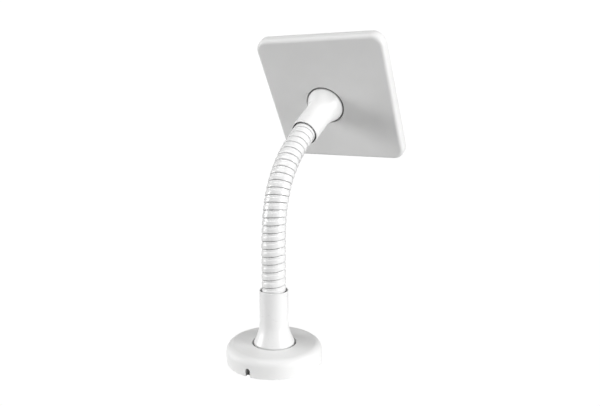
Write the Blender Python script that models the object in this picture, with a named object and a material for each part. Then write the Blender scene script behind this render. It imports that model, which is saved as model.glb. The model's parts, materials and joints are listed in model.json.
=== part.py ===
"""A gooseneck customer display stand: a weighted puck base, a flexible interlocked hose between
two flared swivel sockets, and a square display head carried on its back.

Units are metres, +Z is up, and the origin is the middle of the base's underside. The neck leans
towards +Y, and the cable notch in the base faces -Y.
"""

import math

import bmesh
import bpy
from mathutils import Matrix, Vector

# Driving dimensions of the base
BASE_RADIUS = 0.060
BASE_HEIGHT = 0.0242
BASE_FILLET = 0.009
BASE_WALL = 0.0024
PAD_RADIUS = 0.0570
PAD_THICKNESS = 0.0016
PAD_RELIEF_WIDTH = 0.0100
PAD_RELIEF_START = 0.0520
NOTCH_WIDTH = 0.0062
NOTCH_HEIGHT = 0.0119
NOTCH_FLARE = 0.0016

# Driving dimensions of the swivel joint, which is the same at both ends of the neck. Heights are
# measured from the face that the socket stands on, outwards positive.
RECESS_RADIUS = 0.0278
RECESS_DEPTH = 0.0030
RECESS_FLOOR = 0.0022
PIVOT_HOLE_RADIUS = 0.0113
STEM_RADIUS = 0.0080
WASHER_RADIUS = 0.0274
CABLE_BORE_RADIUS = 0.0052
SOCKET_LENGTH = 0.0680
SOCKET_RADIUS = 0.0179
SOCKET_BORE = 0.0170
FOOT_RADIUS = 0.0255
FLARE_ANGLE = math.radians(23.0)
FLARE_MEETS_TUBE = 0.0189
FLARE_TANGENT = 0.0040

# Driving dimensions of the neck. One hose turn is one pitch; a link is a rigid stretch of turns.
HOSE_RADIUS = 0.0149
HOSE_BORE = 0.0126
HOSE_PITCH = 0.00896
LINK_LENGTH = 2 * HOSE_PITCH
FIRST_JOINT_ABOVE_MOUTH = 0.0113
LAST_JOINT_BELOW_MOUTH = 0.0120
LEAN_GAP = 0.0066
SIDE_GAP = 0.0032
NECK_RADIUS = 0.0098
NECK_BORE = 0.0088
NECK_REACH = 0.0030
HOSE_INSERTION = 0.0420
LEAN_BENDS = [math.radians(bend) for bend in (5.5, 14.5, 18.0, 15.0, 6.2)]

# Driving dimensions of the head. Depths run inwards from its back face.
HEAD_WIDTH = 0.1850
HEAD_HEIGHT = 0.1850
HEAD_DEPTH = 0.0150
HEAD_CORNER = 0.0170
HEAD_FILLET = 0.0040
HEAD_WALL = 0.0022
HEAD_OFFSET = Vector((0.0085, 0.0061, 0.0))
BEZEL_DEPTH = 0.0031
BEZEL_LIP = 0.0038
GLASS_THICKNESS = 0.0010
CHASSIS_DEPTH = 0.0101
CHASSIS_THICKNESS = 0.0007
CHASSIS_SIZE = 0.1690
CHASSIS_SCREW_REACH = 0.0815
LCD_SIZE = 0.1570
BOARD_DEPTH = 0.0056
BOARD_THICKNESS = 0.0016
BOARD_CHIPS = [
    ("display_driver_chip", (-0.030, 0.004, 0.0), 0.007, 0.0012),
    ("processor_chip", (0.004, 0.006, 0.0), 0.005, 0.0010),
    ("power_chip", (0.032, 0.002, 0.0), 0.006, 0.0014),
]

GAP = 0.0003
SEGMENTS = 28
LINK_SEGMENTS = 20
SCREW_SEGMENTS = 12
CORNER_STEPS = 5
FILLET_STEPS = 4


# ---------------------------------------------------------------- making solids


def clear_scene():
    for obj in list(bpy.data.objects):
        bpy.data.objects.remove(obj, do_unlink=True)


def make_material(name, color, roughness, metallic=0.0):
    material = bpy.data.materials.new(name)
    material.use_nodes = True
    shader = material.node_tree.nodes["Principled BSDF"]
    shader.inputs["Base Color"].default_value = (*color, 1.0)
    shader.inputs["Roughness"].default_value = roughness
    shader.inputs["Metallic"].default_value = metallic
    material.diffuse_color = (*color, 1.0)
    return material


def make_empty(name, matrix):
    empty = bpy.data.objects.new(name, None)
    empty.empty_display_size = 0.02
    empty.matrix_world = matrix
    bpy.context.scene.collection.objects.link(empty)
    return empty


def add_object(name, bm, parent, material=None):
    """Turns a bmesh into an object in its parent's frame, smooth apart from its real edges."""
    bmesh.ops.remove_doubles(bm, verts=bm.verts, dist=1e-6)
    bmesh.ops.recalc_face_normals(bm, faces=bm.faces)
    mesh = bpy.data.meshes.new(name)
    bm.to_mesh(mesh)
    bm.free()
    mesh.shade_smooth()
    mesh.set_sharp_from_angle(angle=math.radians(40.0))
    if material:
        mesh.materials.append(material)
    obj = bpy.data.objects.new(name, mesh)
    obj.parent = parent
    bpy.context.scene.collection.objects.link(obj)
    return obj


def spin_outline(bm, outline, segments, place):
    """Turns a closed outline of (radius, height) points about the local Z axis."""
    verts = [bm.verts.new((radius, 0.0, height)) for radius, height in outline]
    pairs = [(verts[i - 1], verts[i]) for i in range(len(verts))]
    edges = [bm.edges.new(pair) for pair in pairs if pair[0].co.x > 0.0 or pair[1].co.x > 0.0]
    geometry = verts + edges
    around_z = {"cent": (0, 0, 0), "axis": (0, 0, 1), "angle": 2 * math.pi}
    bmesh.ops.spin(bm, geom=geometry, steps=segments, use_merge=True, **around_z)
    bmesh.ops.remove_doubles(bm, verts=bm.verts, dist=1e-6)
    turned_verts = [vert for vert in bm.verts if not vert.tag]
    bmesh.ops.transform(bm, matrix=place, verts=turned_verts)
    for vert in turned_verts:
        vert.tag = True


def turned(name, outline, parent, material=None, segments=SEGMENTS, places=(Matrix(),)):
    """One solid of revolution, or a group of separate equal ones at several places."""
    bm = bmesh.new()
    for place in places:
        spin_outline(bm, outline, segments, place)
    return add_object(name, bm, parent, material)


def turned_copies(name, outline, parent, material, places):
    """The same small turned piece at several places, each its own object on one shared mesh."""
    first = turned(f"{name}_1", outline, parent, material, SCREW_SEGMENTS)
    for number, place in enumerate(places, start=1):
        copy = first
        if number > 1:
            copy = bpy.data.objects.new(f"{name}_{number}", first.data)
            copy.parent = parent
            bpy.context.scene.collection.objects.link(copy)
        copy.location = place.translation


def cylinder_outline(radius, low, high, bore=0.0):
    return [(bore, high), (radius, high), (radius, low), (bore, low)]


def arc(center, radius, start, end, steps):
    """Points on an arc from one angle to another, both included, in degrees."""
    angles = [math.radians(start + (end - start) * step / steps) for step in range(steps + 1)]
    return [(center[0] + radius * math.cos(a), center[1] + radius * math.sin(a)) for a in angles]


def rounded_rectangle(half_width, half_height, corner, height, center=HEAD_OFFSET):
    points = []
    for quarter, (side_x, side_y) in enumerate(((1, 1), (-1, 1), (-1, -1), (1, -1))):
        middle = (side_x * (half_width - corner), side_y * (half_height - corner))
        for x, y in arc(middle, corner, 90 * quarter, 90 * quarter + 90, CORNER_STEPS):
            points.append(Vector((x + center.x, y + center.y, height)))
    return points


def lofted(name, loops, parent, material=None, ring=False):
    """Skins a row of loops with equal point counts. A ring joins the last loop to the first."""
    bm = bmesh.new()
    rows = [[bm.verts.new(point) for point in loop] for loop in loops]
    count = len(rows[0])
    pairs = list(zip(rows, rows[1:]))
    if ring:
        pairs.append((rows[-1], rows[0]))
    else:
        bm.faces.new(rows[0])
        bm.faces.new(rows[-1])
    for low, high in pairs:
        for i in range(count):
            bm.faces.new((low[i - 1], low[i], high[i], high[i - 1]))
    return add_object(name, bm, parent, material)


def boxes(name, spans, parent, material=None):
    """A group of boxes, each given as its lowest and highest corners."""
    bm = bmesh.new()
    for low, high in spans:
        low = Vector(low)
        high = Vector(high)
        place = Matrix.Translation((low + high) / 2) @ Matrix.Diagonal((*(high - low), 1.0))
        bmesh.ops.create_cube(bm, size=1.0, matrix=place)
    return add_object(name, bm, parent, material)


def boolean(obj, tool, operation):
    """Adds a Boolean with a helper solid, which stays out of the model."""
    tool.hide_render = True
    tool.display_type = "WIRE"
    modifier = obj.modifiers.new(tool.name, "BOOLEAN")
    modifier.operation = operation
    modifier.object = tool


def drill(obj, radius, low, high, places=(Matrix(),), segments=SCREW_SEGMENTS):
    outline = cylinder_outline(radius, low, high)
    tool = turned(f"{obj.name}_drill_{len(obj.modifiers)}", outline, obj.parent, None, segments, places)
    boolean(obj, tool, "DIFFERENCE")


def add_posts(obj, radius, low, high, places=(Matrix(),), segments=SCREW_SEGMENTS):
    outline = cylinder_outline(radius, low, high)
    tool = turned(f"{obj.name}_posts_{len(obj.modifiers)}", outline, obj.parent, None, segments, places)
    boolean(obj, tool, "UNION")


def around(radius, angles):
    """Places on a circle about the local Z axis, at angles in degrees."""
    return [
        Matrix.Translation((radius * math.cos(math.radians(a)), radius * math.sin(math.radians(a)), 0.0))
        for a in angles
    ]


# ---------------------------------------------------------------- the base


def notch_outline(rim):
    """An arch that flares out where it meets the cover's rim, as (x, z) points."""
    half = NOTCH_WIDTH / 2
    foot = half + NOTCH_FLARE
    arch = [(foot, 0.0)] + arc((foot, rim + NOTCH_FLARE), NOTCH_FLARE, 270, 180, 4)
    arch += arc((0.0, NOTCH_HEIGHT - half), half, 0, 180, 8)
    arch += arc((-foot, rim + NOTCH_FLARE), NOTCH_FLARE, 0, -90, 4) + [(-foot, 0.0)]
    return arch


def make_base_cover(parent, material):
    top = BASE_HEIGHT
    bend_radius = BASE_RADIUS - BASE_FILLET
    bend_height = top - BASE_FILLET
    low = PAD_THICKNESS - 0.0004
    inner = BASE_FILLET - BASE_WALL
    floor = top - RECESS_DEPTH
    underside = floor - RECESS_FLOOR
    outline = arc((bend_radius, bend_height), BASE_FILLET, 90, 0, 5)
    outline += [(BASE_RADIUS, low), (BASE_RADIUS - BASE_WALL, low)]
    outline += arc((bend_radius, bend_height), inner, 0, 90, 3)
    outline += [(RECESS_RADIUS + BASE_WALL, top - BASE_WALL), (RECESS_RADIUS + BASE_WALL, underside)]
    outline += [(PIVOT_HOLE_RADIUS, underside), (PIVOT_HOLE_RADIUS, floor), (RECESS_RADIUS, floor)]
    outline += [(RECESS_RADIUS, top - 0.0005), (RECESS_RADIUS + 0.0005, top)]
    cover = turned("base_cover", outline, parent, material, 40)
    ends = (-BASE_RADIUS - 0.002, -BASE_RADIUS + 2 * BASE_WALL)
    loops = [[Vector((x, y, z)) for x, z in notch_outline(low)] for y in ends]
    boolean(cover, lofted("base_cover_notch", loops, parent), "DIFFERENCE")
    screw_places = around(0.044, (90, 210, 330))
    add_posts(cover, 0.0042, 0.0153, top - BASE_WALL / 2, screw_places)
    drill(cover, 0.0020, 0.0150, 0.0190, screw_places)


def make_base_weight(parent, material):
    low = PAD_THICKNESS + GAP
    outline = cylinder_outline(0.0566, low, 0.0150, 0.0160)
    weight = turned("base_weight", outline, parent, material, 40)
    drill(weight, 0.0021, low - 0.001, 0.016, around(0.044, (90, 210, 330)))
    drill(weight, 0.0040, low - 0.001, 0.0052, around(0.044, (90, 210, 330)))
    groove_low = (-0.0036, -0.060, low - 0.001)
    groove_high = (0.0036, -0.010, 0.0100)
    boolean(weight, boxes("base_weight_groove", [(groove_low, groove_high)], parent), "DIFFERENCE")


def make_base_hardware(parent, rubber, steel):
    pad = turned("foot_pad", cylinder_outline(PAD_RADIUS, 0.0, PAD_THICKNESS), parent, rubber, 40)
    relief_low = (-PAD_RELIEF_WIDTH / 2, -BASE_RADIUS, -0.001)
    relief_high = (PAD_RELIEF_WIDTH / 2, -PAD_RELIEF_START, PAD_THICKNESS + 0.001)
    boolean(pad, boxes("foot_pad_relief", [(relief_low, relief_high)], parent), "DIFFERENCE")
    head_low = 0.0022
    head_high = 0.0049
    outline = [(0.0, 0.0175), (0.0016, 0.0175), (0.0016, head_high)]
    outline += [(0.0036, head_high), (0.0036, head_low), (0.0, head_low)]
    turned_copies("weight_screw", outline, parent, steel, around(0.044, (90, 210, 330)))


# ---------------------------------------------------------------- the swivel joints


def make_socket(name, parent, material):
    """A tube whose foot flares into a bell that stands in the recess. It is hollow down to a floor."""
    foot_bottom = -RECESS_DEPTH + 0.0012
    tube_end = FLARE_MEETS_TUBE + FLARE_TANGENT
    bend_radius = FLARE_TANGENT / math.tan(FLARE_ANGLE / 2)
    bend_center = (SOCKET_RADIUS + bend_radius, tube_end)
    flare = arc(bend_center, bend_radius, 180, 180 + math.degrees(FLARE_ANGLE), 3)
    foot_height = FLARE_MEETS_TUBE - (FOOT_RADIUS - 0.0004 - SOCKET_RADIUS) / math.tan(FLARE_ANGLE)
    outline = [(SOCKET_BORE + 0.0002, SOCKET_LENGTH), (SOCKET_RADIUS - 0.0003, SOCKET_LENGTH)]
    outline += [(SOCKET_RADIUS, SOCKET_LENGTH - 0.0003)]
    outline += flare
    outline += [(FOOT_RADIUS - 0.0004, foot_height), (FOOT_RADIUS, foot_height - 0.0016)]
    outline += [(FOOT_RADIUS, foot_bottom), (STEM_RADIUS + GAP, foot_bottom), (STEM_RADIUS + GAP, 0.0022)]
    outline += [(0.0150, 0.0022), (SOCKET_BORE, 0.0120), (SOCKET_BORE, SOCKET_LENGTH - 0.0004)]
    turned(name, outline, parent, material)


def make_pivot(prefix, parent, materials):
    """The hollow stem, nut and spring washer that hold a socket to its face and let the lead through."""
    underside = -RECESS_DEPTH - RECESS_FLOOR
    washer_top = underside - 0.0016
    nut_top = washer_top - 0.0008
    nut_bottom = nut_top - 0.0022
    stem = [(CABLE_BORE_RADIUS, 0.0047), (0.0125, 0.0047), (0.0125, 0.0022 + GAP)]
    stem += [(STEM_RADIUS, 0.0022 + GAP), (STEM_RADIUS, nut_bottom - 0.0002)]
    stem += [(CABLE_BORE_RADIUS, nut_bottom - 0.0002)]
    turned(f"{prefix}_hollow_stem", stem, parent, materials["steel"], 24)
    washer = cylinder_outline(0.0130, washer_top - 0.0005, washer_top, STEM_RADIUS + 0.0004)
    turned(f"{prefix}_spring_washer", washer, parent, materials["steel"], 24)
    nut = turned(f"{prefix}_nut", cylinder_outline(0.0122, nut_bottom, nut_top), parent, materials["zinc"], 6)
    drill(nut, STEM_RADIUS + GAP, nut_bottom - 0.001, nut_top + 0.001, segments=24)


def make_bearing(prefix, parent, materials):
    """The flanged bush in the pivot hole and the friction washer under the socket's foot."""
    floor = -RECESS_DEPTH
    underside = floor - RECESS_FLOOR
    bush_outer = PIVOT_HOLE_RADIUS - GAP
    bush_inner = STEM_RADIUS + GAP
    flange = underside - GAP
    bush = [(bush_inner, floor), (bush_outer, floor), (bush_outer, flange), (0.0140, flange)]
    bush += [(0.0140, flange - 0.0010), (bush_inner, flange - 0.0010)]
    turned(f"{prefix}_bush", bush, parent, materials["nylon"], 24)
    washer = cylinder_outline(WASHER_RADIUS, floor + GAP, floor + 0.0009, PIVOT_HOLE_RADIUS + 0.0012)
    turned(f"{prefix}_friction_washer", washer, parent, materials["fibre"])


def make_ferrule(prefix, parent, material):
    outline = cylinder_outline(SOCKET_BORE - GAP, 0.0280, 0.0440, HOSE_RADIUS + GAP)
    turned(f"{prefix}_ferrule", outline, parent, material)


# ---------------------------------------------------------------- the neck


def along(angle):
    """The direction of a stretch of the neck that leans by an angle from upright towards +Y."""
    return Vector((0.0, math.sin(angle), math.cos(angle)))


def station(point, angle):
    """A frame at a point of the neck: local Z runs along the neck and local X stays level."""
    return Matrix.Translation(point) @ Matrix.Rotation(-angle, 4, "X")


def neck_stations():
    """Walks up the neck: a list of (joint frame, kind of joint), and the upper mouth's frame.

    The two lowest and every other joint bend sideways, the rest bend in the leaning plane and
    hold the neck's rest shape between them.
    """
    point = Vector((0.0, 0.0, BASE_HEIGHT + SOCKET_LENGTH + FIRST_JOINT_ABOVE_MOUTH))
    angle = 0.0
    stations = [(station(point, angle), "side")]
    point = point + along(angle) * 2 * LINK_LENGTH
    for bend in LEAN_BENDS:
        stations.append((station(point, angle), "side"))
        point = point + along(angle) * LINK_LENGTH
        stations.append((station(point, angle), "lean"))
        angle += bend
        point = point + along(angle) * LINK_LENGTH
    mouth = point + along(angle) * (LAST_JOINT_BELOW_MOUTH - LINK_LENGTH)
    return stations, station(mouth, angle)


def half_gap(kind):
    return LEAN_GAP / 2 if kind == "lean" else SIDE_GAP / 2


def link_outline(start, end, kind_above):
    """A sleeve from start to end along its own axis, with a narrower neck that reaches into the next."""
    edge = 0.0006
    outline = [(HOSE_BORE, start), (HOSE_BORE, end - 0.0030)]
    if kind_above:
        tip = end + 2 * half_gap(kind_above) + NECK_REACH
        outline += [(NECK_BORE, end - 0.0020), (NECK_BORE, tip), (NECK_RADIUS, tip), (NECK_RADIUS, end)]
    else:
        outline[-1] = (HOSE_BORE, end)
    outline += [(HOSE_RADIUS - edge, end), (HOSE_RADIUS, end - edge)]
    outline += [(HOSE_RADIUS, start + edge), (HOSE_RADIUS - edge, start)]
    return outline[::-1]


def make_hose(material):
    """The interlocked hose as rigid links, each in the frame of the joint below it."""
    stations, upper_mouth = neck_stations()
    first_frame, first_kind = stations[0]
    bottom = -FIRST_JOINT_ABOVE_MOUTH - HOSE_INSERTION
    below = make_empty("hose_bottom", first_frame)
    outline = link_outline(bottom, -half_gap(first_kind), first_kind)
    turned("hose_link_01", outline, below, material, LINK_SEGMENTS)
    lean_angles = [0.0]
    for bend in LEAN_BENDS:
        lean_angles.append(lean_angles[-1] + bend)
    for number, (frame, kind) in enumerate(stations, start=2):
        leans_passed = sum(1 for _, passed in stations[: number - 1] if passed == "lean")
        direction = station(frame.translation, lean_angles[leans_passed])
        joint = make_empty(f"hose_joint_{number:02d}", direction)
        start = half_gap(kind)
        if number - 1 < len(stations):
            upper_frame, upper_kind = stations[number - 1]
            length = (upper_frame.translation - frame.translation).length
            outline = link_outline(start, length - half_gap(upper_kind), upper_kind)
        else:
            outline = link_outline(start, LAST_JOINT_BELOW_MOUTH + HOSE_INSERTION, None)
        turned(f"hose_link_{number:02d}", outline, joint, material, LINK_SEGMENTS)
    return upper_mouth


# ---------------------------------------------------------------- the head


def head_loop(inset, depth, corner=HEAD_CORNER):
    """A rounded rectangle set in from the head's outline, at a depth from its back face."""
    radius = max(corner - inset, 0.001)
    return rounded_rectangle(HEAD_WIDTH / 2 - inset, HEAD_HEIGHT / 2 - inset, radius, -depth)


def head_places(reach):
    return [
        Matrix.Translation(HEAD_OFFSET + Vector((side_x * reach, side_y * reach, 0.0)))
        for side_x in (-1, 1)
        for side_y in (-1, 1)
    ]


def board_places():
    middle, half_width, half_height = board_size()
    return [
        Matrix.Translation(middle + Vector((side_x * (half_width - 0.005), side_y * (half_height - 0.005), 0.0)))
        for side_x in (-1, 1)
        for side_y in (-1, 1)
    ]


def board_size():
    """The board's middle, half width and half height: it fills the space above the pivot."""
    return HEAD_OFFSET + Vector((0.0, 0.0575, 0.0)), 0.058, 0.024


def make_rear_housing(parent, material):
    rim = HEAD_DEPTH - BEZEL_DEPTH - GAP
    outer = [
        head_loop(HEAD_FILLET - x, HEAD_FILLET - y)
        for x, y in arc((0.0, 0.0), HEAD_FILLET, 90, 0, FILLET_STEPS)
    ]
    inner = [head_loop(HEAD_WALL, rim), head_loop(HEAD_WALL, HEAD_FILLET), head_loop(HEAD_FILLET, HEAD_WALL)]
    housing = lofted("rear_housing", outer + [head_loop(0.0, rim)] + inner, parent, material)
    boss_end = -RECESS_DEPTH - RECESS_FLOOR
    add_posts(housing, RECESS_RADIUS + HEAD_WALL, boss_end, -HEAD_WALL / 2, segments=SEGMENTS)
    add_posts(housing, 0.0034, -CHASSIS_DEPTH + GAP, -HEAD_WALL / 2, head_places(CHASSIS_SCREW_REACH))
    add_posts(housing, 0.0028, -BOARD_DEPTH + GAP, -HEAD_WALL / 2, board_places())
    drill(housing, RECESS_RADIUS, -RECESS_DEPTH, 0.001, segments=SEGMENTS)
    drill(housing, PIVOT_HOLE_RADIUS, boss_end - 0.001, 0.001, segments=24)
    drill(housing, 0.0013, -CHASSIS_DEPTH, -HEAD_WALL - 0.001, head_places(CHASSIS_SCREW_REACH))
    drill(housing, 0.0011, -BOARD_DEPTH, -HEAD_WALL - 0.0005, board_places())


def make_front_bezel(parent, material):
    back = HEAD_DEPTH - BEZEL_DEPTH
    ledge = back + 0.0010
    edge = 0.0008
    loops = [
        head_loop(0.0, back),
        head_loop(0.0, HEAD_DEPTH - edge),
        head_loop(edge, HEAD_DEPTH),
        head_loop(BEZEL_LIP, HEAD_DEPTH),
        head_loop(BEZEL_LIP, ledge),
        head_loop(BEZEL_LIP + 0.0046, ledge),
        head_loop(BEZEL_LIP + 0.0046, back),
    ]
    lofted("front_bezel", loops, parent, material, ring=True)


def make_screen(parent, materials):
    """The cover glass, its adhesive frame and the display module behind it."""
    ledge = HEAD_DEPTH - BEZEL_DEPTH + 0.0010
    tape_back = ledge + GAP
    tape_front = tape_back + 0.0003
    glass_back = tape_front + GAP
    glass_front = glass_back + GLASS_THICKNESS
    tape = [
        head_loop(BEZEL_LIP + 0.0008, tape_back),
        head_loop(BEZEL_LIP + 0.0008, tape_front),
        head_loop(BEZEL_LIP + 0.0042, tape_front),
        head_loop(BEZEL_LIP + 0.0042, tape_back),
    ]
    lofted("glass_tape", tape, parent, materials["foam"], ring=True)
    glass = [head_loop(BEZEL_LIP + GAP, glass_back), head_loop(BEZEL_LIP + GAP, glass_front)]
    lofted("cover_glass", glass, parent, materials["glass"])
    back = CHASSIS_DEPTH + CHASSIS_THICKNESS + GAP
    half = LCD_SIZE / 2
    module = [rounded_rectangle(half, half, 0.002, -depth) for depth in (back, tape_back)]
    lofted("display_module", module, parent, materials["screen"])


def make_chassis(parent, materials):
    loops = [
        rounded_rectangle(CHASSIS_SIZE / 2, CHASSIS_SIZE / 2, 0.004, -depth)
        for depth in (CHASSIS_DEPTH, CHASSIS_DEPTH + CHASSIS_THICKNESS)
    ]
    plate = lofted("chassis_plate", loops, parent, materials["zinc"])
    places = head_places(CHASSIS_SCREW_REACH)
    drill(plate, 0.0016, -CHASSIS_DEPTH - 0.002, -CHASSIS_DEPTH + 0.001, places)
    middle = ribbon_middle()
    low = middle + Vector((-0.015, -0.003, -CHASSIS_DEPTH - 0.002))
    high = middle + Vector((0.015, 0.003, -CHASSIS_DEPTH + 0.001))
    boolean(plate, boxes("chassis_slot", [(low, high)], parent), "DIFFERENCE")
    front = -CHASSIS_DEPTH - CHASSIS_THICKNESS - GAP
    outline = [(0.0, front - 0.0005), (0.0, -HEAD_WALL - 0.0022), (0.0010, -HEAD_WALL - 0.0022)]
    outline += [(0.0010, front), (0.0024, front), (0.0024, front - 0.0005)]
    turned_copies("chassis_screw", outline, parent, materials["steel"], places)


def ribbon_middle():
    middle, _, half_height = board_size()
    return middle + Vector((0.0, -half_height + 0.004, 0.0))


def make_board(parent, materials):
    """The display board stands on posts off the housing; its ribbon goes through the chassis slot."""
    middle, half_width, half_height = board_size()
    front = BOARD_DEPTH + BOARD_THICKNESS
    low = middle + Vector((-half_width, -half_height, -front))
    high = middle + Vector((half_width, half_height, -BOARD_DEPTH))
    board = boxes("display_board", [(low, high)], parent, materials["board"])
    drill(board, 0.0013, -front - 0.001, -BOARD_DEPTH + 0.001, board_places())
    chip_back = -BOARD_DEPTH + GAP
    for name, place, half, height in BOARD_CHIPS:
        corner = middle + Vector(place)
        low = corner + Vector((-half, -half, chip_back))
        high = corner + Vector((half, half, chip_back + height))
        boxes(name, [(low, high)], parent, materials["black"])
    socket = middle + Vector((-0.012, -half_height + 0.0045, 0.0))
    low = socket + Vector((-0.0045, -0.0037, chip_back))
    high = socket + Vector((0.0045, 0.0037, chip_back + 0.0026))
    connector = boxes("board_connector", [(low, high)], parent, materials["zinc"])
    wall = Vector((0.0007, 0.0, 0.0005))
    mouth = (low + wall - Vector((0.0, 0.0010, 0.0)), high - wall - Vector((0.0, 0.0012, 0.0)))
    boolean(connector, boxes("connector_mouth", [mouth], parent), "DIFFERENCE")
    head = -front - GAP
    outline = [(0.0, head - 0.0012), (0.0, -HEAD_WALL - 0.0008), (0.0008, -HEAD_WALL - 0.0008)]
    outline += [(0.0008, head), (0.0020, head), (0.0020, head - 0.0012)]
    turned_copies("board_screw", outline, parent, materials["steel"], board_places())
    make_ribbon(parent, materials["ribbon"], front)


def make_ribbon(parent, material, board_front):
    """A flat flexible strip that lies on the board's front, then turns down through the chassis slot."""
    middle = ribbon_middle()
    thickness = 0.0002
    start = board_front + GAP
    end = CHASSIS_DEPTH + CHASSIS_THICKNESS
    path = [(0.012, start), (0.002, start), (0.0, start + 0.0004), (0.0, end)]
    back = [(0.012, start + thickness), (0.0022, start + thickness), (thickness, start + 0.0006), (thickness, end)]
    outline = path + back[::-1]
    loops = [[middle + Vector((x, y, -depth)) for y, depth in outline] for x in (-0.012, 0.012)]
    lofted("display_ribbon", loops, parent, material)


# ---------------------------------------------------------------- the whole stand


def make_materials():
    return {
        "white": make_material("white_shell", (0.80, 0.80, 0.79), 0.42),
        "hose": make_material("white_hose", (0.82, 0.82, 0.81), 0.35),
        "iron": make_material("weight_iron", (0.18, 0.18, 0.19), 0.60, 0.7),
        "steel": make_material("bright_steel", (0.62, 0.62, 0.63), 0.32, 1.0),
        "zinc": make_material("zinc_plate", (0.55, 0.56, 0.58), 0.40, 1.0),
        "nylon": make_material("nylon", (0.72, 0.71, 0.66), 0.55),
        "fibre": make_material("dark_fibre", (0.06, 0.06, 0.06), 0.90),
        "rubber": make_material("foot_rubber", (0.05, 0.05, 0.05), 0.85),
        "foam": make_material("black_foam", (0.03, 0.03, 0.03), 0.90),
        "glass": make_material("cover_glass", (0.03, 0.03, 0.035), 0.06),
        "screen": make_material("display_screen", (0.02, 0.022, 0.03), 0.25),
        "board": make_material("circuit_board", (0.03, 0.16, 0.07), 0.45),
        "black": make_material("chip_black", (0.03, 0.03, 0.03), 0.50),
        "ribbon": make_material("ribbon_film", (0.55, 0.30, 0.06), 0.40),
    }


def main():
    clear_scene()
    materials = make_materials()
    base = make_empty("base_origin", Matrix())
    lower_face = make_empty("lower_face", Matrix.Translation((0.0, 0.0, BASE_HEIGHT)))
    make_base_cover(base, materials["white"])
    make_base_weight(base, materials["iron"])
    make_base_hardware(base, materials["rubber"], materials["steel"])
    upper_mouth = make_hose(materials["hose"])
    turned_over = Matrix.Rotation(math.pi, 4, "X")
    face_matrix = upper_mouth @ Matrix.Translation((0.0, 0.0, SOCKET_LENGTH)) @ turned_over
    upper_face = make_empty("upper_face", face_matrix)
    for prefix, face in (("lower", lower_face), ("upper", upper_face)):
        make_socket(f"{prefix}_socket", face, materials["white"])
        make_pivot(prefix, face, materials)
        make_bearing(prefix, face, materials)
        make_ferrule(prefix, face, materials["zinc"])
    make_rear_housing(upper_face, materials["white"])
    make_front_bezel(upper_face, materials["white"])
    make_chassis(upper_face, materials)
    make_board(upper_face, materials)
    make_screen(upper_face, materials)
    bpy.context.view_layer.update()


main()
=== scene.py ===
"""Looks of the gooseneck customer display stand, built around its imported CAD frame.

Metres, +Z up, the origin in the middle of the base's underside. The neck leans towards +Y.
"""
import json
import math

import bmesh
import bpy
from mathutils import Matrix, Vector


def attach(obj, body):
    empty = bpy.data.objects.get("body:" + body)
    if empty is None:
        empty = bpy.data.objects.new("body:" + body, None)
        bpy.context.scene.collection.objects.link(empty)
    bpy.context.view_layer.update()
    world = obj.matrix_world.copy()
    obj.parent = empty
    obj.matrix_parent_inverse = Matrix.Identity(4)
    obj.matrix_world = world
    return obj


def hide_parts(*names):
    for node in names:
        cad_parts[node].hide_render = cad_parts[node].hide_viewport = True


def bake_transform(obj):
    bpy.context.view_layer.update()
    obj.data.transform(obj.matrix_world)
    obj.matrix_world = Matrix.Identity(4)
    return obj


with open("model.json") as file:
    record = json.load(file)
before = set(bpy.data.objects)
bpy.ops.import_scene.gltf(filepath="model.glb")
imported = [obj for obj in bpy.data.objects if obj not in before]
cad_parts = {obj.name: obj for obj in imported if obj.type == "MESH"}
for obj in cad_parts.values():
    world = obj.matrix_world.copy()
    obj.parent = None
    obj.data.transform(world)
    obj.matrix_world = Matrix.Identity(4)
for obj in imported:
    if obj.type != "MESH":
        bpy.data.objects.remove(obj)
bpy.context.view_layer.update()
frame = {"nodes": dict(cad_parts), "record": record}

# Sizes that are the CAD's too, apart from BASE_RIM, which only the visible base has
BASE_RADIUS = 0.060
BASE_HEIGHT = 0.0242
BASE_FILLET = 0.009
BASE_WALL = 0.0024
BASE_RIM = 0.0012
PAD_RADIUS = 0.0570
PAD_THICKNESS = 0.0016
PAD_RELIEF_WIDTH = 0.0100
PAD_RELIEF_START = 0.0520
NOTCH_WIDTH = 0.0062
NOTCH_HEIGHT = 0.0119
NOTCH_FLARE = 0.0016
RECESS_RADIUS = 0.0278
RECESS_DEPTH = 0.0030
RECESS_FLOOR = 0.0022
PIVOT_HOLE_RADIUS = 0.0113
STEM_RADIUS = 0.0080
# The washers reach out under the gap round each socket's foot, so that their dark grey shows there as painted
# shade.
WASHER_RADIUS = 0.0274
SOCKET_LENGTH = 0.0680
SOCKET_RADIUS = 0.0179
SOCKET_BORE = 0.0170
FOOT_RADIUS = 0.0255
FLARE_ANGLE = math.radians(23.0)
FLARE_MEETS_TUBE = 0.0189
HOSE_BORE = 0.0126
HOSE_PITCH = 0.00896
LINK_LENGTH = 2 * HOSE_PITCH
FIRST_JOINT_ABOVE_MOUTH = 0.0113
LAST_JOINT_BELOW_MOUTH = 0.0120
LEAN_BENDS = [math.radians(bend) for bend in (5.5, 14.5, 18.0, 15.0, 6.2)]
HEAD_WIDTH = 0.1850
HEAD_HEIGHT = 0.1850
HEAD_DEPTH = 0.0150
HEAD_CORNER = 0.0170
HEAD_WALL = 0.0022
HEAD_OFFSET = Vector((0.0085, 0.0061, 0.0))
BEZEL_DEPTH = 0.0031
BEZEL_LIP = 0.0038
GLASS_THICKNESS = 0.0010
GAP = 0.0003

# Sizes that differ from the CAD's: the length over which a socket's flare runs into its tube and
# the rounding of the head's back edge, both 0.0040 there, and how far the hose goes into a socket,
# 0.0420 there
FLARE_TANGENT = 0.0085
HEAD_FILLET = 0.0055
HOSE_INSERTION = 0.0250

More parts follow.
